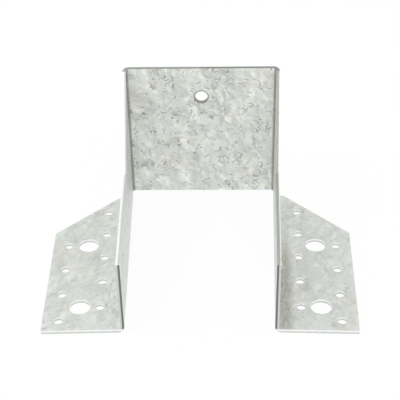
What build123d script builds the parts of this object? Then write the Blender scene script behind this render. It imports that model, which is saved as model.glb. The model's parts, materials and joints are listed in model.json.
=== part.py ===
from build123d import *
import math
import os

# Face-mount joist hanger: one folded steel sheet, lying on the backs of its two wings.
# X runs across the hanger, +Y points to the seat plate, +Z away from the wings' backs.
# Two directions belong to each side. "Run" starts at the corner where the inside faces
# of the seat and the side plate would meet, and goes along the side plate to the open
# end. "Out" starts at the side plate's inside face and goes to the wing's tip.

# Sheet and folds
SHEET = 2.0            # sheet thickness
BEND_IN = 1.5          # inside radius of every fold
RELIEF_RISE = 0.5      # corner relief, from the wing's fold up to the seat's lower edge
RELIEF_RUN = 1.5       # corner relief, from the seat's fold to the start of the wing's fold
FOLD_STEPS = 8         # sections that shape the free edge round the seat's fold

# Beam that the hanger takes
BEAM = 80.0            # beam width
SLACK = 0.4            # clearance between the beam and each side plate, at the seat
PINCH = 1.65           # degrees that each side plate closes in towards the open end

# Plates
RUN = 116.0            # length of the side plate, from the corner to the open end
DEPTH = 83.5           # backs of the wings to the seat's free edge
SIDE_DEPTH = 43.0      # backs of the wings to the side plate's free edge
SIDE_SLOPE = 45.0      # degrees, sloping edge between those two depths
WING = 41.4            # side plate's inside face to the wing's tip
SHOULDER = 2.3         # square end of the wing, from the fold to the sloping edge
SHOULDER_ROUND = 5.5   # radius where that end starts to slope
WING_SLOPE = 44.0      # degrees, sloping edge of the wing
TIP_ROUND = 1.0        # radius of the plates' outer corners
KINK_ROUND = 3.0       # radius where the side plate's sloping edge becomes level

# Nail holes
NAIL = 5.0             # diameter
PITCH = 20.0           # spacing along a column
NAIL_OUT = 13.3        # side plate's inside face to the wing's inner column
COLUMN_GAP = 20.0      # inner column to outer column
END_MARGIN = 7.4       # open end to the outer column's first hole
SIDE_MARGIN = 19.0     # open end to the side plate's first hole
SIDE_DROP = 11.0       # side plate's free edge to its holes
NAIL_KEEP = 6.0        # least distance from a sloping edge, along the run

# Bolt holes and the seat's hole
BOLT = 11.0            # diameter of the wings' bolt holes
BOLT_OUT = 23.4        # side plate's inside face to the bolt hole by the open end
BOLT_SHIFT = 1.0       # how much nearer the fold the second bolt hole is
BOLT_GAP = 50.0        # between the two bolt holes of a wing, along the run
SEAT_HOLE = 7.0        # diameter of the seat's hole
SEAT_HOLE_DROP = 17.5  # seat's free edge to its hole

# Derived sizes
bend_out = BEND_IN + SHEET
seat_rise = bend_out + RELIEF_RISE
half_gap = BEAM / 2 + SLACK
fold_turn = 90.0 + PINCH
fold_reach = BEND_IN * math.tan(math.radians(fold_turn / 2))
fold_start = fold_reach + RELIEF_RUN
shoulder_out = bend_out + SHOULDER

# The seat's free edge starts to slope within the fold beside it: an arc that is level
# where the fold starts, and has the side plate's slope where the fold ends.
slope = math.radians(SIDE_SLOPE)
fold_arc = math.radians(fold_turn) * (BEND_IN + SHEET / 2)
arc_radius = fold_arc / math.sin(slope)
side_top = DEPTH - arc_radius * (1 - math.cos(slope))

# Frames of the right-hand side plate and wing. The left-hand ones are their mirror image.
pinch = math.radians(PINCH)
corner = Vector(half_gap, 0, 0)
run_dir = Vector(-math.sin(pinch), -math.cos(pinch), 0)
out_dir = Vector(math.cos(pinch), -math.sin(pinch), 0)
side_plane = Plane(origin=corner, x_dir=run_dir, z_dir=-out_dir)
wing_plane = Plane(origin=corner, x_dir=run_dir, z_dir=(0, 0, 1))


def wing_edge(out):
    """Run at which the wing's sloping edge lies, for a given distance out."""
    return fold_start + max(0.0, out - shoulder_out) * math.tan(math.radians(WING_SLOPE))


def hole_runs(margin, edge_run):
    """Runs of a column of nail holes, from the open end to a sloping edge."""
    room = RUN - margin - edge_run - NAIL_KEEP
    count = math.floor(room / PITCH) + 1
    return [RUN - margin - PITCH * i for i in range(count)]


def rounded(points, rounds):
    """Outline through the points, with a radius at those that have one."""
    outline = make_face(Polyline(*points, close=True))
    for point, radius in rounds:
        nearest = outline.vertices().sort_by_distance(Vector(*point))[0]
        outline = fillet(nearest, radius)
    return outline


# Seat plate, between its two folds
seat_half = half_gap - fold_reach
seat_height = DEPTH - seat_rise
seat = Pos(0, SHEET / 2, seat_rise) * Box(
    2 * seat_half, SHEET, seat_height, align=(Align.CENTER, Align.CENTER, Align.MIN)
)
hole_axis = Plane(origin=(0, SHEET / 2, DEPTH - SEAT_HOLE_DROP), z_dir=(0, 1, 0))
seat -= hole_axis * Cylinder(SEAT_HOLE / 2, 2 * SHEET)

# Fold between the seat and the side plate, turned about an upright axis
blank_height = seat_height + SHEET
seat_end = Plane(
    origin=(seat_half, SHEET / 2, seat_rise + blank_height / 2),
    x_dir=(0, 1, 0),
    z_dir=(1, 0, 0),
)
seat_fold = revolve(
    seat_end * Rectangle(SHEET, blank_height),
    Axis((seat_half, -BEND_IN, 0), (0, 0, -1)),
    fold_turn,
)

# What is cut off above the fold: upright sections, square to the sheet all the way round
cut_off = []
for step in range(FOLD_STEPS + 1):
    turn = math.radians(fold_turn) * step / FOLD_STEPS
    outward = Vector(math.sin(turn), math.cos(turn), 0)
    onward = Vector(math.cos(turn), -math.sin(turn), 0)
    drop = arc_radius - math.sqrt(arc_radius**2 - (fold_arc * step / FOLD_STEPS) ** 2)
    foot = Vector(seat_half, -BEND_IN, DEPTH - drop) + outward * (BEND_IN + SHEET / 2)
    upright = Plane(origin=foot, x_dir=outward, z_dir=onward)
    cut_off.append(
        upright * Rectangle(2 * SHEET, 2 * SHEET, align=(Align.CENTER, Align.MIN))
    )
seat_fold -= loft(cut_off)

# Side plate: deepest at the seat, then a sloping edge down to a level free edge
slope_end = fold_reach + (side_top - SIDE_DEPTH) / math.tan(slope)
side_outline = rounded(
    [
        (fold_reach, seat_rise),
        (fold_reach, side_top),
        (slope_end, SIDE_DEPTH),
        (RUN, SIDE_DEPTH),
        (RUN, bend_out),
        (fold_start, bend_out),
        (fold_start, seat_rise),
    ],
    [((slope_end, SIDE_DEPTH), KINK_ROUND), ((RUN, SIDE_DEPTH), TIP_ROUND)],
)
for run in hole_runs(SIDE_MARGIN, slope_end):
    side_outline -= Pos(run, SIDE_DEPTH - SIDE_DROP) * Circle(NAIL / 2)
side = extrude(side_plane * side_outline, SHEET, dir=out_dir)

# Fold between the side plate and the wing, turned about an axis along the run
fold_length = RUN - fold_start
fold_middle = corner + run_dir * (fold_start + fold_length / 2)
side_foot = Plane(
    origin=fold_middle + out_dir * (SHEET / 2) + Vector(0, 0, bend_out),
    x_dir=run_dir,
    z_dir=(0, 0, -1),
)
wing_fold = revolve(
    side_foot * Rectangle(fold_length, SHEET),
    Axis(fold_middle + out_dir * bend_out + Vector(0, 0, bend_out), run_dir),
    90,
)

# Wing: square shoulder by the seat, sloping edge, straight tip, square open end
tip_run = wing_edge(WING)
wing_outline = rounded(
    [
        (fold_start, bend_out),
        (fold_start, shoulder_out),
        (tip_run, WING),
        (RUN, WING),
        (RUN, bend_out),
    ],
    [
        ((fold_start, shoulder_out), SHOULDER_ROUND),
        ((tip_run, WING), TIP_ROUND),
        ((RUN, WING), TIP_ROUND),
    ],
)
inner_runs = hole_runs(END_MARGIN + PITCH / 2, wing_edge(NAIL_OUT))
outer_runs = hole_runs(END_MARGIN, wing_edge(NAIL_OUT + COLUMN_GAP))
wing_nails = [(run, NAIL_OUT) for run in inner_runs]
wing_nails += [(run, NAIL_OUT + COLUMN_GAP) for run in outer_runs]
for run, out in wing_nails:
    wing_outline -= Pos(run, out) * Circle(NAIL / 2)
bolt_run = RUN - END_MARGIN - PITCH / 2
bolts = [(bolt_run, BOLT_OUT), (bolt_run - BOLT_GAP, BOLT_OUT - BOLT_SHIFT)]
for run, out in bolts:
    wing_outline -= Pos(run, out) * Circle(BOLT / 2)
wing = extrude(wing_plane * wing_outline, SHEET)

# One sheet, with the origin under the middle of its box
right = seat_fold + side + wing_fold + wing
hanger = seat + right + mirror(right, Plane.YZ)
middle = hanger.bounding_box().center()
hanger = Pos(0, -middle.Y, 0) * hanger

os.makedirs("parts", exist_ok=True)
export_step(hanger, "parts/joist_hanger.step")
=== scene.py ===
# %% [markdown]
# # A galvanised joist hanger
# A joist hanger is one piece of sheet steel, cut flat, punched and folded. A seat and two
# side plates make a U that takes the end of a beam, and two drilled wings are nailed or
# bolted to the wall. The shape comes from the CAD model. This script gives it the finish
# of zinc-coated steel, and sets up a plain studio round it.

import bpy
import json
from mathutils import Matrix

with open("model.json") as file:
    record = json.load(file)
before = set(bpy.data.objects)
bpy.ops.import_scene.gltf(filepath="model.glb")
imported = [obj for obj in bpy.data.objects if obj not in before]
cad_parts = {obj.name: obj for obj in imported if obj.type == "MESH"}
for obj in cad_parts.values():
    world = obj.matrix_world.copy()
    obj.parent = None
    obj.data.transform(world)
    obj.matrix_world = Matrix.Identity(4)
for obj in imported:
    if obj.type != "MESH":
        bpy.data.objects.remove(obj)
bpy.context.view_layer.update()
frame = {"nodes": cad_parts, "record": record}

# %% [markdown]
# ## Measures
# Finishes are placed from the CAD model. Its record names the face that the beam sits on
# and the seat's hole, and their positions are read from there. The sheet's own sizes are
# repeated here in millimetres: its thickness, its folds' outside radius, half the gap at
# the seat, the length of a side plate, and the angle at which the sides close in.

# %% Measures of the hanger
import json
import math

import bpy
from mathutils import Matrix, Vector

hanger = frame["nodes"]["joist_hanger"]
mounts = {m["name"]: Vector(m["pos_m"]) for m in frame["record"]["mounts"]}
MM = 0.001
SHEET = 2.0
BEND_OUT = 3.5
HALF_GAP = 40.4
RUN = 116.0
SEAT_HOLE_RADIUS = 3.5
PINCH = math.radians(1.65)
RUN_WAY = Vector((-math.sin(PINCH), -math.cos(PINCH), 0))
OUT_WAY = Vector((math.cos(PINCH), -math.sin(PINCH), 0))
seat_face_y = mounts["beam_seat"].y

# %% [markdown]
# ## Camera
# The hanger lies on the backs of its wings, and is seen from above the open end. A long
# lens from over half a metre keeps its edges nearly parallel. The aim is given as three plain
# angles, and the camera's axes are worked out from them.

# %% Camera
CAMERA_AT = Vector((13.1, -446.4, 360.4)) * MM
PITCH, YAW, ROLL = (math.radians(a) for a in (35.8, -1.71, -1.2))
FOCAL = 96.02

heading = Vector((math.sin(YAW), math.cos(YAW), 0))
ahead = math.cos(PITCH) * heading - Vector((0, 0, math.sin(PITCH)))
level_right = Vector((math.cos(YAW), -math.sin(YAW), 0))
level_up = level_right.cross(ahead)
right = math.cos(ROLL) * level_right + math.sin(ROLL) * level_up
up = math.cos(ROLL) * level_up - math.sin(ROLL) * level_right

camera = bpy.data.objects.new("camera", bpy.data.cameras.new("camera"))
camera.data.lens = FOCAL
camera.data.sensor_width = 36
axes = Matrix((right, up, -ahead)).transposed().to_4x4()
camera.matrix_world = Matrix.Translation(CAMERA_AT) @ axes
bpy.context.scene.collection.objects.link(camera)
bpy.context.scene.camera = camera
print("camera", round(CAMERA_AT.length, 3), "m from the middle of the hanger")

# %% [markdown]
# ## Wiring nodes
# Materials are node trees, and every node could be added and linked by hand. Short
# helpers keep the wiring readable instead. They add a node and fill its inputs with
# numbers or with other nodes' outputs, do sums, mix colours, and start a group or a
# material.

# %% Node helpers
def fill(tree, node, inputs):
    for name, value in inputs.items():
        socket = node.inputs[name]
        if isinstance(value, bpy.types.NodeSocket):
            tree.links.new(value, socket)
        else:
            socket.default_value = value
    return node


def add(tree, kind, inputs=None, **settings):
    node = tree.nodes.new(kind)
    for name, value in settings.items():
        setattr(node, name, value)
    return fill(tree, node, inputs or {})


def calc(tree, operation, *values, clamp=False):
    terms = dict(enumerate(values))
    return add(tree, "ShaderNodeMath", terms, operation=operation, use_clamp=clamp).outputs[0]


def plus(tree, base, value, amount):
    """The base, with an amount of a value that changes over the surface added to it."""
    return calc(tree, "ADD", base, calc(tree, "MULTIPLY", value, amount))


def vector(tree, operation, *values):
    node = add(tree, "ShaderNodeVectorMath", operation=operation)
    for i, value in enumerate(values):
        key = "Scale" if operation == "SCALE" and i == 1 else i
        fill(tree, node, {key: value})
    single = operation in ("DOT_PRODUCT", "LENGTH", "DISTANCE")
    return node.outputs["Value" if single else "Vector"]


def ramp(tree, value, low, high, to_low=0.0, to_high=1.0):
    node = add(tree, "ShaderNodeMapRange", {"Value": value, "From Min": low, "From Max": high,
                                            "To Min": to_low, "To Max": to_high}, clamp=True)
    return node.outputs["Result"]


def blend(tree, mask, low, high, mode="MIX"):
    node = add(tree, "ShaderNodeMix", data_type="RGBA", blend_type=mode)
    fill(tree, node, {0: mask, 6: low, 7: high})
    return node.outputs[2]


def cover(tree, colour, mask, amount, tint):
    """A tint laid over a colour where the mask is, no stronger than the amount."""
    return blend(tree, calc(tree, "MULTIPLY", mask, amount), colour, tint)


def cast(tree, colour, tint):
    """A colour with a faint cast of another."""
    return blend(tree, 1.0, colour, tint, "MULTIPLY")


def channels(tree, colour):
    return add(tree, "ShaderNodeSeparateColor", {0: colour}).outputs


def object_place(tree):
    return add(tree, "ShaderNodeTexCoord").outputs["Object"]


def turned(tree, point, turn, lengths):
    """The point in a grid whose cells are turned, and have the given lengths."""
    angles = [math.radians(a) for a in turn]
    return add(tree, "ShaderNodeMapping", {"Vector": point, "Rotation": angles, "Scale": lengths},
               vector_type="TEXTURE").outputs[0]


def warped(tree, point, amount, **noise):
    """The point, pushed about by up to half the amount each way."""
    push = add(tree, "ShaderNodeTexNoise", {"Vector": point, **noise}).outputs["Color"]
    push = vector(tree, "SUBTRACT", push, (0.5, 0.5, 0.5))
    return vector(tree, "ADD", point, vector(tree, "SCALE", push, amount))


def new_group(name, inputs, outputs):
    """A group with number sockets, what it is asked, and what it gives."""
    tree = bpy.data.node_groups.new(name, "ShaderNodeTree")
    for title, start in inputs.items():
        socket = tree.interface.new_socket(title, in_out="INPUT", socket_type="NodeSocketFloat")
        socket.default_value = start
    for title in outputs:
        tree.interface.new_socket(title, in_out="OUTPUT", socket_type="NodeSocketFloat")
    asked = tree.nodes.new("NodeGroupInput").outputs
    return tree, asked, tree.nodes.new("NodeGroupOutput").inputs


def give(tree, given, **results):
    for title, result in results.items():
        tree.links.new(result, given[title])


def group(tree, source, **inputs):
    node = add(tree, "ShaderNodeGroup", node_tree=source)
    return fill(tree, node, {k.replace("_", " "): v for k, v in inputs.items()}).outputs


def band(tree, value, low, high, soft):
    """1 between low and high, falling to 0 over the soft distance on both sides."""
    rise = ramp(tree, value, low - soft, low)
    fall = ramp(tree, value, high, high + soft, 1.0, 0.0)
    return calc(tree, "MULTIPLY", rise, fall)


def new_material(name):
    material = bpy.data.materials.new(name)
    material.use_nodes = True
    tree = material.node_tree
    return material, tree, tree.nodes["Principled BSDF"]


print("node helpers ready")

# %% [markdown]
# ## Where a point lies on the sheet
# Stains, creases and cut edges follow the folds, so the materials need to know how far a
# point is from them. A paint mask would do, but it would have to be drawn and stored.
# Measuring from the position is exact: "run" goes from the seat to the open end, "out"
# goes from a side plate's inside face to the wing's tip, and both sides share one sum.
# "Height" is above the wings' backs, and "depth" is behind the face the beam sits on.

# %% Sheet position group
position, _, given = new_group("Sheet position", {}, ["Run", "Out", "Height", "Right", "Depth"])
in_mm = vector(position, "SCALE", object_place(position), 1 / MM)
xyz = add(position, "ShaderNodeSeparateXYZ", {0: in_mm}).outputs
depth = calc(position, "SUBTRACT", xyz["Y"], seat_face_y / MM)
across = calc(position, "SUBTRACT", calc(position, "ABSOLUTE", xyz["X"]), HALF_GAP)
from_corner = add(position, "ShaderNodeCombineXYZ", {"X": across, "Y": depth}).outputs[0]
give(position, given, Height=xyz["Z"], Depth=depth,
     Run=vector(position, "DOT_PRODUCT", from_corner, RUN_WAY),
     Out=vector(position, "DOT_PRODUCT", from_corner, OUT_WAY),
     Right=calc(position, "GREATER_THAN", xyz["X"], 0.0))
print("sheet position gives", [socket.name for socket in given if socket.name])

# %% [markdown]
# ## Spangle
# Molten zinc freezes on the steel in flat crystals, called spangle. Each one has its own
# random tone and leans a little in its own direction. The soft change of tone across it is
# painted shading of that lean, and the tone jumps at its border. Thin shards lie over the
# broad ones. Voronoi textures give each crystal a random colour and a centre. A picture of
# real spangle would repeat, and this doesn't.

# %% Spangle group
spangle, asked, given = new_group("Zinc spangle", {"Crystal": 8.0, "Warp": 0.30, "Tilt": 0.03},
                                  ["Tone", "Hue", "Grain", "Lean"])
size = calc(spangle, "MULTIPLY", asked["Crystal"], MM)
cells = vector(spangle, "SCALE", object_place(spangle), calc(spangle, "DIVIDE", 1.0, size))
cells = warped(spangle, cells, asked["Warp"], Scale=2.0, Detail=1.0, Roughness=0.5)


def crystals(turn, lengths):
    """One set of crystals, turned and drawn out along its own direction."""
    placed = turned(spangle, cells, turn, lengths)
    cell = add(spangle, "ShaderNodeTexVoronoi", {"Vector": placed, "Scale": 1.0}).outputs
    slope = vector(spangle, "SUBTRACT", cell["Color"], (0.5, 0.5, 0.5))
    from_centre = vector(spangle, "SUBTRACT", placed, cell["Position"])
    return channels(spangle, cell["Color"]), slope, vector(spangle, "DOT_PRODUCT", from_centre, slope)


broad, broad_slope, broad_lean = crystals((25, 40, 10), (1.0, 1.4, 0.8))
shard, _, shard_lean = crystals((-35, 20, 60), (1.1, 0.36, 0.6))
sliver, _, sliver_lean = crystals((40, 75, -30), (1.0, 0.42, 0.55))
chip, _, chip_lean = crystals((60, -50, -20), (0.26, 0.62, 0.40))

tone = ramp(spangle, broad["Red"], 0, 1, 0.43, 0.57)
# Painted shading: from here to the chips, each crystal's lean makes it lighter on one side and darker on the
# other.
tone = plus(spangle, tone, broad_lean, 0.35)
some = ramp(spangle, shard["Blue"], 0.52, 0.58)
tone = plus(spangle, tone, calc(spangle, "MULTIPLY", shard_lean, some), 0.8)
tone = plus(spangle, tone, sliver_lean, 0.5)
tone = plus(spangle, tone, chip_lean, 0.22)
tone = plus(spangle, tone, ramp(spangle, shard["Red"], 0.84, 0.86), 0.14)
tone = plus(spangle, tone, ramp(spangle, sliver["Red"], 0.80, 0.82), 0.16)
tone = plus(spangle, tone, ramp(spangle, sliver["Green"], 0.85, 0.87), -0.09)
tone = calc(spangle, "ADD", tone, ramp(spangle, chip["Red"], 0.8, 0.83, 0.0, 0.07), clamp=True)

along = vector(spangle, "DOT_PRODUCT", cells, broad_slope)
beside = vector(spangle, "CROSS_PRODUCT", broad_slope, (0.3, 0.5, 0.8))
across = vector(spangle, "DOT_PRODUCT", cells, beside)
strand = add(spangle, "ShaderNodeCombineXYZ", {"X": calc(spangle, "MULTIPLY", along, 26.0),
                                               "Y": calc(spangle, "MULTIPLY", across, 3.0),
                                               "Z": calc(spangle, "MULTIPLY", broad["Blue"], 40.0)})
grain = add(spangle, "ShaderNodeTexNoise", {"Vector": strand.outputs[0], "Scale": 1.0, "Detail": 2.0})
tilt = calc(spangle, "MULTIPLY", asked["Tilt"], size)
give(spangle, given, Tone=tone, Hue=chip["Blue"], Grain=grain.outputs[0],
     Lean=calc(spangle, "MULTIPLY", broad_lean, tilt))
print("spangle group has", len(spangle.nodes), "nodes")

# %% [markdown]
# ## Ticks
# Where crystals meet, some borders sink into a short groove with a lip beside it. Drawing
# every border would make a net, which zinc doesn't have. Long thin Voronoi cells give
# separate ticks: a few of them are marked, with a painted shade along the middle for the
# groove, and a painted highlight beside it for the lip. Three sets, each turned its own
# way, are laid over.

# %% Ticks group
ticks, asked, given = new_group("Border ticks", {"Spacing": 5.4, "Share": 0.79}, ["Dark", "Bright"])
spaced = vector(ticks, "SCALE", object_place(ticks), calc(ticks, "DIVIDE", 1.0 / MM, asked["Spacing"]))
bent = add(ticks, "ShaderNodeTexNoise", {"Vector": spaced, "Scale": 1.3, "Detail": 2.0}).outputs["Color"]
spaced = vector(ticks, "ADD", spaced, vector(ticks, "SCALE", bent, 0.9))
dark, lit = 0.0, 0.0
for turn in ((20, 15, 35), (-50, 70, -20), (80, -35, 110)):
    placed = turned(ticks, spaced, turn, (1.05, 0.34, 0.75))
    cell = add(ticks, "ShaderNodeTexVoronoi", {"Vector": placed, "Scale": 1.0}).outputs
    from_centre = vector(ticks, "SUBTRACT", placed, cell["Position"])
    aside = add(ticks, "ShaderNodeSeparateXYZ", {0: from_centre}).outputs["Y"]
    chosen = calc(ticks, "GREATER_THAN", channels(ticks, cell["Color"])["Red"], asked["Share"])
    inside = calc(ticks, "MULTIPLY", chosen, ramp(ticks, cell["Distance"], 0.34, 0.5, 1.0, 0.0))
    # Painted shade in the groove, and a painted highlight on its lip.
    groove_shade = band(ticks, aside, -0.05, 0.05, 0.09)
    lip_highlight = band(ticks, aside, 0.22, 0.36, 0.10)
    dark = calc(ticks, "MAXIMUM", dark, calc(ticks, "MULTIPLY", inside, groove_shade))
    lit = calc(ticks, "MAXIMUM", lit, calc(ticks, "MULTIPLY", inside, lip_highlight))
give(ticks, given, Dark=dark, Bright=lit)
print("ticks group has", len(ticks.nodes), "nodes")

# %% [markdown]
# ## Handling marks
# The sheet is stored and carried loose, so it has specks of dirt, fine scratches and
# faint cloudy patches. The skin, the cut edges and the rims all have specks, of their own
# size and number, and so the marks are one group that each material places with its own
# values.

# %% Handling marks group
marks, asked, given = new_group("Handling marks",
                                {"Speck Spacing": 4.0, "Speck Size": 0.12, "Speck Share": 0.6},
                                ["Specks", "Scratches", "Clouds"])
in_mm = vector(marks, "SCALE", object_place(marks), 1 / MM)
spaced = vector(marks, "SCALE", in_mm, calc(marks, "DIVIDE", 1.0, asked["Speck Spacing"]))
ragged = warped(marks, spaced, 0.35, Scale=4.0, Detail=2.0)
dots = add(marks, "ShaderNodeTexVoronoi", {"Vector": ragged, "Scale": 1.0}).outputs
few = calc(marks, "GREATER_THAN", channels(marks, dots["Color"])["Red"], asked["Speck Share"])
spread = calc(marks, "DIVIDE", dots["Distance"], asked["Speck Size"])
specks = calc(marks, "MULTIPLY", ramp(marks, spread, 0.7, 1.1, 1.0, 0.0), few)

hairs = add(marks, "ShaderNodeMapping", {"Vector": in_mm, "Rotation": (0.4, 0.7, 1.1),
                                         "Scale": (0.03, 0.9, 0.6)}).outputs[0]
hair = add(marks, "ShaderNodeTexNoise", {"Vector": hairs, "Scale": 1.0, "Detail": 2.0}).outputs[0]
from_middle = calc(marks, "ABSOLUTE", calc(marks, "SUBTRACT", hair, 0.5))
cloud = add(marks, "ShaderNodeTexNoise", {"Vector": in_mm, "Scale": 0.035, "Detail": 3.0,
                                          "Roughness": 0.5}).outputs[0]
give(marks, given, Specks=specks, Scratches=ramp(marks, from_middle, 0.004, 0.012, 1.0, 0.0),
     Clouds=ramp(marks, cloud, 0.38, 0.62))
print("handling marks group has", len(marks.nodes), "nodes")

# %% [markdown]
# ## Zinc skin
# The skin is pale grey zinc with a green cast. It is a metal, but a dull one, so its
# roughness is high and the crystals show as soft changes of tone. They are painted boldest
# on the seat, and fainter on the wings and side plates, which are seen at a grazing angle:
# a painted change of reflection. The seat and side plates are painted lighter, and the
# sheet a little darker towards the seat end: painted light and shade by place. One dull and
# one pale zinc colour, mixed by the spangle's tone, are simpler to tune than a colour for
# each crystal.

# %% Zinc skin material
DULL_ZINC = (0.425, 0.441, 0.430, 1)
PALE_ZINC = (0.935, 0.960, 0.942, 1)
GREEN_CAST = (0.98, 1.0, 0.985, 1)
WARM_CAST = (1.0, 0.985, 0.965, 1)
YELLOW_CAST = (0.99, 0.99, 0.93, 1)
# The grey of painted shade: in the inside corners, round the seat's hole and on the open end's cut faces.
PAINTED_SHADE_GREY = (0.20, 0.205, 0.195, 1)
# A pale colour for the sheared edges' burnished band, and for the painted highlight on the ticks' lips.
BURNISH_AND_LIP_HIGHLIGHT = (0.93, 0.95, 0.93, 1)

zinc, tree, skin = new_material("galvanised_skin")
at = group(tree, position)
crystal = group(tree, spangle)
tick = group(tree, ticks)
mark = group(tree, marks)
on_seat = ramp(tree, at["Depth"], -4.0, -1.0)
on_side = band(tree, at["Out"], -0.2, SHEET + 0.2, 0.2)
# Painted reflection: the spangle is bolder on the seat than on the wings and side plates.
view_contrast = ramp(tree, on_seat, 0, 1, 0.42, 0.8)
tone = calc(tree, "MULTIPLY", calc(tree, "SUBTRACT", crystal["Tone"], 0.5), view_contrast)
tone = plus(tree, 0.5, tone, 1.0)
# Painted light and shade: lighter on the seat and side plates, darker towards the seat end.
tone = plus(tree, tone, on_seat, 0.12)
tone = plus(tree, tone, on_side, 0.14)
tone = plus(tree, tone, ramp(tree, at["Run"], 20.0, 110.0, -0.03, 0.0), 1.0)
colour = blend(tree, tone, DULL_ZINC, PALE_ZINC)
colour = blend(tree, mark["Clouds"], cast(tree, colour, GREEN_CAST), cast(tree, colour, WARM_CAST))
colour = cover(tree, colour, crystal["Hue"], 0.5, cast(tree, colour, YELLOW_CAST))
faint = calc(tree, "MULTIPLY", view_contrast, view_contrast)
# Painted highlight on the ticks' lips, and painted shade in their grooves.
colour = cover(tree, colour, calc(tree, "MULTIPLY", tick["Bright"], faint), 0.65, BURNISH_AND_LIP_HIGHLIGHT)
colour = cover(tree, colour, calc(tree, "MULTIPLY", tick["Dark"], faint), 1.1, (0.24, 0.25, 0.24, 1))
colour = cover(tree, colour, mark["Scratches"], 0.12, (0.95, 0.96, 0.95, 1))
colour = cover(tree, colour, mark["Specks"], 0.5, (0.22, 0.22, 0.20, 1))
print("clean zinc has", len(tree.nodes), "nodes")

# %% [markdown]
# ## Dirt and painted shade on the skin
# Dirt gathers where it is hard to wipe. Each patch could be painted on the mesh. Bands
# along the folds, broken up by one noise, place it with a few numbers. A brown stain runs
# along the right-hand fold towards the open end, and a lighter smear lies on the left-hand
# wing. A grey band in the upright folds and a grey ring round the seat's hole are painted
# shade.

# %% Stain, smear, and painted shade in the folds and round the hole
mottle = add(tree, "ShaderNodeMapping", {"Vector": object_place(tree),
                                         "Scale": (900.0, 260.0, 900.0)}).outputs[0]
mottle = add(tree, "ShaderNodeTexNoise", {"Vector": mottle, "Scale": 1.0, "Detail": 3.0}).outputs[0]
on_wing = calc(tree, "LESS_THAN", at["Height"], 4.0)
by_fold = band(tree, at["Out"], 2.5, 6.5, 4.0)
stain = calc(tree, "MULTIPLY", by_fold, band(tree, at["Run"], 62.0, 118.0, 22.0))
stain = calc(tree, "MULTIPLY", stain, calc(tree, "MULTIPLY", at["Right"], on_wing))
stain = calc(tree, "MULTIPLY", stain, ramp(tree, mottle, 0.34, 0.60, 0.45, 1.0))
colour = cover(tree, colour, stain, 0.62, (0.30, 0.287, 0.245, 1))

left = calc(tree, "SUBTRACT", 1.0, at["Right"])
smear = calc(tree, "MULTIPLY", band(tree, at["Out"], 4.5, 10.0, 4.0), band(tree, at["Run"], 82.0, 100.0, 8.0))
smear = calc(tree, "MULTIPLY", smear, calc(tree, "MULTIPLY", left, ramp(tree, mottle, 0.54, 0.62)))
colour = cover(tree, colour, smear, 0.4, (0.24, 0.24, 0.21, 1))

hole_at = mounts["seat_hole"]
flat = vector(tree, "MULTIPLY", object_place(tree), (1, 0, 1))
from_hole = vector(tree, "DISTANCE", flat, (hole_at.x, 0, hole_at.z))
# Painted shade: a grey ring just outside the seat's hole.
painted_hole_shade = ramp(tree, from_hole, (SEAT_HOLE_RADIUS + 0.4) * MM, (SEAT_HOLE_RADIUS + 1.0) * MM, 1.0, 0.0)
colour = cover(tree, colour, calc(tree, "MULTIPLY", on_seat, painted_hole_shade), 0.7, PAINTED_SHADE_GREY)
# Painted shade: a grey band in the inside corners where the seat meets the side plates.
by_seat = band(tree, at["Depth"], -1.5, 0.4, 0.6)
painted_crease_shade = calc(tree, "MULTIPLY", by_seat, band(tree, at["Out"], -0.9, 0.4, 0.6))
colour = cover(tree, colour, painted_crease_shade, 0.68, PAINTED_SHADE_GREY)

dull = plus(tree, ramp(tree, crystal["Grain"], 0.3, 0.7, 0.40, 0.54), stain, 0.25)
bump = add(tree, "ShaderNodeBump", {"Strength": 1.0, "Distance": 1.0, "Height": crystal["Lean"]})
fill(tree, skin, {"Base Color": colour, "Roughness": dull, "Normal": bump.outputs[0],
                  "Metallic": ramp(tree, stain, 0, 1, 0.92, 0.5)})
print("zinc skin has", len(tree.nodes), "nodes")

# %% [markdown]
# ## Sheared edges
# The sheet was zinc-coated before it was cut, so its edges and the walls of its holes
# show how the shear went through: a smooth, bright band where the blade pushed in, and a
# grey, grainy band where the steel tore. The side plates' free edges stayed bright, above
# all the left-hand one. Their upright edges at the open end carry painted shade on their
# inner half, and the seat's cut faces, its long edge and its hole's wall, are painted dark
# as shade. How deep a point lies in the sheet tells the bands apart.

# %% Sheared edge material
SPECK_ON_EDGE = (0.25, 0.25, 0.23, 1)

sheared, tree, edge = new_material("sheared_edge")
at = group(tree, position)
mark = group(tree, marks, Speck_Spacing=1.4, Speck_Size=0.25, Speck_Share=0.7)
on_wing = calc(tree, "LESS_THAN", at["Height"], SHEET + 0.05)
upright = calc(tree, "SUBTRACT", 1.0, on_wing)
through = calc(tree, "ADD", calc(tree, "MULTIPLY", at["Height"], on_wing),
               calc(tree, "MULTIPLY", at["Out"], upright))
tear = add(tree, "ShaderNodeTexNoise", {"Vector": object_place(tree), "Scale": 1400.0,
                                        "Detail": 3.0}).outputs[0]
bright = ramp(tree, plus(tree, through, tear, 0.5), 0.9, 1.5)
colour = blend(tree, bright, (0.64, 0.655, 0.64, 1), BURNISH_AND_LIP_HIGHLIGHT)
dim = blend(tree, ramp(tree, at["Out"], 1.45, 1.7), (0.42, 0.43, 0.41, 1), (0.90, 0.92, 0.90, 1))
colour = blend(tree, calc(tree, "MULTIPLY", at["Right"], upright), colour, dim)
# Painted shade on the upright cut faces at the open end, darkest on their inner half.
open_end_shade = calc(tree, "MULTIPLY", ramp(tree, at["Run"], RUN - 0.4, RUN - 0.1), upright)
colour = blend(tree, open_end_shade, colour,
               blend(tree, ramp(tree, at["Out"], 0.9, 1.15), PAINTED_SHADE_GREY, (0.62, 0.635, 0.62, 1)))
colour = cover(tree, colour, mark["Specks"], 0.4, SPECK_ON_EDGE)
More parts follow.
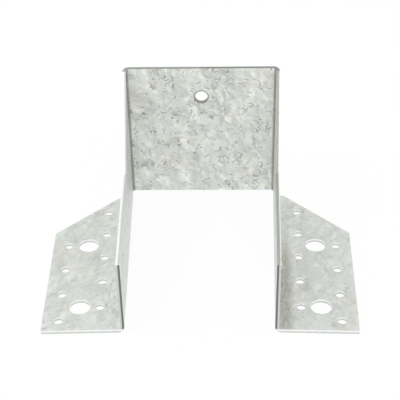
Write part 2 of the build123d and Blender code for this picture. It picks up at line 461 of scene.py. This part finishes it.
# Painted shade on all the seat's cut faces, its long edge and its hole's wall among them.
on_seat = calc(tree, "GREATER_THAN", at["Depth"], -1.0)
colour = cover(tree, colour, on_seat, 0.8, (0.26, 0.27, 0.26, 1))
bump = add(tree, "ShaderNodeBump", {"Strength": 0.3, "Distance": 0.05 * MM, "Height": tear})
fill(tree, edge, {"Base Color": colour, "Roughness": ramp(tree, bright, 0, 1, 0.6, 0.38),
                  "Normal": bump.outputs[0], "Metallic": 0.9})
print("sheared edge has", len(tree.nodes), "nodes")

# %% [markdown]
# ## Rolled rims
# A punch and a shear roll the zinc over at every edge. On the wings and side plates the
# rims that face the open end carry a painted highlight, and those that face the seat a
# painted shade. All the seat's rims carry a darker painted shade. The bevel below can give
# its new faces a material of their own, so the rims need no mask to find them.

# %% Rolled rim material
rolled, tree, rim_skin = new_material("rolled_rim")
at = group(tree, position)
mark = group(tree, marks, Speck_Spacing=2.0, Speck_Size=0.2, Speck_Share=0.6)
normal = add(tree, "ShaderNodeTexCoord").outputs["Normal"]
facing = add(tree, "ShaderNodeSeparateXYZ", {0: normal}).outputs["Y"]
on_seat = calc(tree, "GREATER_THAN", at["Depth"], -1.0)
# Painted highlight on the rims that face the open end, and painted shade on the rest, darkest on the seat.
painted_rim_highlight = calc(tree, "MULTIPLY", ramp(tree, facing, 0.25, -0.25), calc(tree, "SUBTRACT", 1.0, on_seat))
painted_rim_shade = blend(tree, on_seat, (0.34, 0.35, 0.34, 1), (0.14, 0.145, 0.14, 1))
colour = blend(tree, painted_rim_highlight, painted_rim_shade, (0.94, 0.96, 0.94, 1))
colour = cover(tree, colour, mark["Specks"], 0.4, SPECK_ON_EDGE)
fill(tree, rim_skin, {"Base Color": colour, "Roughness": 0.36, "Metallic": 0.9})
print("rolled rim has", len(tree.nodes), "nodes")

# %% [markdown]
# ## Which faces were cut
# A face belongs to the skin if it faces along the sheet's thickness: up or down on the
# wings, sideways on the side plates, along the beam on the seat. The other flat faces
# and the walls of the holes were cut. The sums are those of the sheet position group,
# done once for each face, which is simpler than a mask and gives each face one material.

# %% Give every face its material
SKIN_SLOT, CUT_SLOT, RIM_SLOT = range(3)


def is_cut(face):
    x, y, height = face.center / MM
    from_corner = Vector((abs(x) - HALF_GAP, y - seat_face_y / MM, 0))
    facing = Vector((math.copysign(1.0, x) * face.normal.x, face.normal.y, 0))
    run, out = from_corner.dot(RUN_WAY), from_corner.dot(OUT_WAY)
    rise = abs(face.normal.z)
    if run < BEND_OUT and height > BEND_OUT:
        on_flat_seat = abs(x) < HALF_GAP - BEND_OUT
        return rise > 0.5 or (on_flat_seat and abs(facing.y) < 0.9)
    if height > BEND_OUT:
        return abs(facing.dot(OUT_WAY)) < 0.9
    if out > BEND_OUT:
        return rise < 0.9
    return abs(facing.dot(RUN_WAY)) > 0.9


hanger.data.materials.clear()
for finish in (zinc, sheared, rolled):
    hanger.data.materials.append(finish)
for face in hanger.data.polygons:
    face.material_index = CUT_SLOT if is_cut(face) else SKIN_SLOT
cut_faces = sum(face.material_index == CUT_SLOT for face in hanger.data.polygons)
print(cut_faces, "of", len(hanger.data.polygons), "faces were cut")

# %% [markdown]
# ## Soft edges
# No stamped edge is knife sharp. The punch rolls it over a little, and that thin round
# rim is what catches the light. Rounding every edge in the CAD model would be heavy, and
# a bevel modifier of a fifth of a millimetre does it here. The faces are welded first,
# because the bevel only finds an edge that two faces share.

# %% Roll the edges over
weld = hanger.modifiers.new("weld", "WELD")
weld.merge_threshold = 0.002 * MM
rim = hanger.modifiers.new("rolled_rim", "BEVEL")
rim.width = 0.22 * MM
rim.segments = 3
rim.limit_method = "ANGLE"
rim.angle_limit = math.radians(40)
rim.harden_normals = True
rim.material = RIM_SLOT
hanger.data.shade_smooth()
print("rim", rim.width, "m wide")

# %% [markdown]
# ## Studio
# The hanger lies on a pale floor, as for a catalogue. A floor that is lit until it looks
# white would wash out the hanger too. So the floor's own glow makes it white, and only
# for the camera and for reflections. Its diffuse part still takes the hanger's soft
# shadow.

# %% Floor
floor_mesh = bpy.data.meshes.new("floor")
REACH = 3.0
corners = [(x, y, 0) for x, y in ((-REACH, -REACH), (REACH, -REACH), (REACH, REACH), (-REACH, REACH))]
floor_mesh.from_pydata(corners, [], [(0, 1, 2, 3)])
floor = bpy.data.objects.new("floor", floor_mesh)
bpy.context.scene.collection.objects.link(floor)

paper, tree, matt = new_material("studio_floor")
fill(tree, matt, {"Base Color": (0.86, 0.86, 0.86, 1), "Roughness": 0.9, "Specular IOR Level": 0.1})
rays = add(tree, "ShaderNodeLightPath").outputs
seen = calc(tree, "MAXIMUM", rays["Is Camera Ray"],
            calc(tree, "MAXIMUM", rays["Is Glossy Ray"], rays["Is Transmission Ray"]))
glow = add(tree, "ShaderNodeEmission", {"Color": (1, 1, 1, 1), "Strength": 1.0})
GLOW_SHARE = 0.93
both = add(tree, "ShaderNodeMixShader", {0: calc(tree, "MULTIPLY", seen, GLOW_SHARE), 1: matt.outputs[0],
                                         2: glow.outputs[0]})
tree.links.new(both.outputs[0], tree.nodes["Material Output"].inputs["Surface"])
floor_mesh.materials.append(paper)
print("floor is", 2 * REACH, "m square")

# %% [markdown]
# ## Light
# Bare zinc looks like what it reflects, so most of the light is an even white sky. Sky
# alone would leave the plates flat, and so two large soft lamps, in front and to the
# sides, add a little direction.

# %% Sky and lamps
world = bpy.data.worlds.new("studio")
bpy.context.scene.world = world
world.use_nodes = True
tree = world.node_tree
fill(tree, tree.nodes["Background"], {"Color": (1, 1, 1, 1), "Strength": 1.0})


def lamp(name, place, size, power):
    light = bpy.data.lights.new(name, "AREA")
    light.shape, light.size, light.energy = "DISK", size, power
    item = bpy.data.objects.new(name, light)
    item.location = place
    item.rotation_euler = (-Vector(place)).to_track_quat("-Z", "Y").to_euler()
    bpy.context.scene.collection.objects.link(item)


bpy.context.scene.view_settings.view_transform = "Standard"
lamp("key_lamp", (-0.7, -0.2, 0.9), 0.6, 3.0)
lamp("fill_lamp", (0.6, -0.7, 0.8), 0.6, 1.5)

# %% [markdown]
# ## Finish
# Looks never change the size.

# %% Finish
print("finished")
